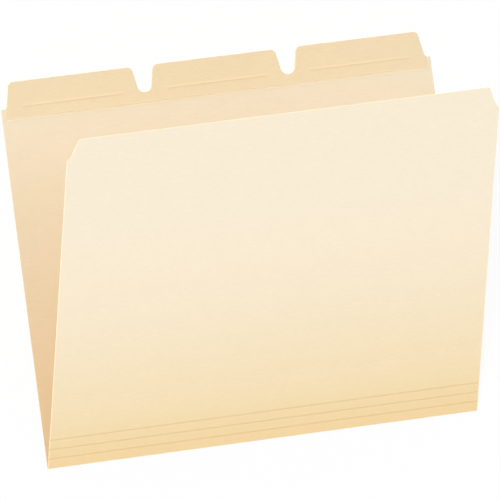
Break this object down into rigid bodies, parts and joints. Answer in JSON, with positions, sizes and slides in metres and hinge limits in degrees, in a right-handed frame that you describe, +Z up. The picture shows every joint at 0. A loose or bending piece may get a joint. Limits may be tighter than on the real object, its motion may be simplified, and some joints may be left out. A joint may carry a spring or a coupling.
{
  "type": "manila folder",
  "caption": "Letter-size manila card folder with reinforced top tabs, a scored expanding bottom and a hinged front leaf, lying open on its back leaf.",
  "frame": {"origin": "under the middle of the folder's box, on the surface that the back leaf's outer face rests on", "axes": "+X along the bottom fold, +Y from the fold to the tabs, +Z up, out of the back leaf's inner face"},
  "size_m": [0.2984, 0.2418, 0.0963],
  "materials": {
    "manila_card": "matte",
    "tab_strip_card": "matte",
    "dried_glue": "matte"
  },
  "bodies": {
    "back_leaf": {"back_leaf": "manila_card", "bottom_fold": "manila_card", "tab_strip": "tab_strip_card", "strip_glue": "dried_glue"},
    "left_tab": {"left_tab": "manila_card", "left_tab_facing": "tab_strip_card", "left_tab_glue": "dried_glue"},
    "centre_tab": {"centre_tab": "manila_card", "centre_tab_facing": "tab_strip_card", "centre_tab_glue": "dried_glue"},
    "right_tab": {"right_tab": "manila_card", "right_tab_facing": "tab_strip_card", "right_tab_glue": "dried_glue"},
    "lower_gusset": {"lower_gusset": "manila_card"},
    "middle_gusset": {"middle_gusset": "manila_card"},
    "upper_gusset": {"upper_gusset": "manila_card"},
    "front_leaf": {"front_leaf": "manila_card"}
  },
  "joints": [
    {"name": "cover_fold", "type": "hinge", "parent": "back_leaf", "child": "lower_gusset", "pos_m": [0, -0.1204, 0.0005], "axis": [-1, 0, 0], "range_deg": [-154.5, 24.5]},
    {"name": "lower_score", "type": "hinge", "parent": "lower_gusset", "child": "middle_gusset", "pos_m": [0, -0.11473, 0.00336], "axis": [1, 0, 0], "range_deg": [-24, 0]},
    {"name": "middle_score", "type": "hinge", "parent": "middle_gusset", "child": "upper_gusset", "pos_m": [0, -0.109, 0.00609], "axis": [1, 0, 0], "range_deg": [-24, 0]},
    {"name": "upper_score", "type": "hinge", "parent": "upper_gusset", "child": "front_leaf", "pos_m": [0, -0.10327, 0.00883], "axis": [1, 0, 0], "range_deg": [-24, 0]},
    {"name": "left_tab_fold", "type": "hinge", "parent": "back_leaf", "child": "left_tab", "pos_m": [-0.09958, 0.1053, 0.00077], "axis": [1, 0, 0], "range_deg": [0, 174]},
    {"name": "centre_tab_fold", "type": "hinge", "parent": "back_leaf", "child": "centre_tab", "pos_m": [0, 0.1053, 0.00077], "axis": [1, 0, 0], "range_deg": [0, 174]},
    {"name": "right_tab_fold", "type": "hinge", "parent": "back_leaf", "child": "right_tab", "pos_m": [0.09958, 0.1053, 0.00077], "axis": [1, 0, 0], "range_deg": [0, 174]}
  ]
}
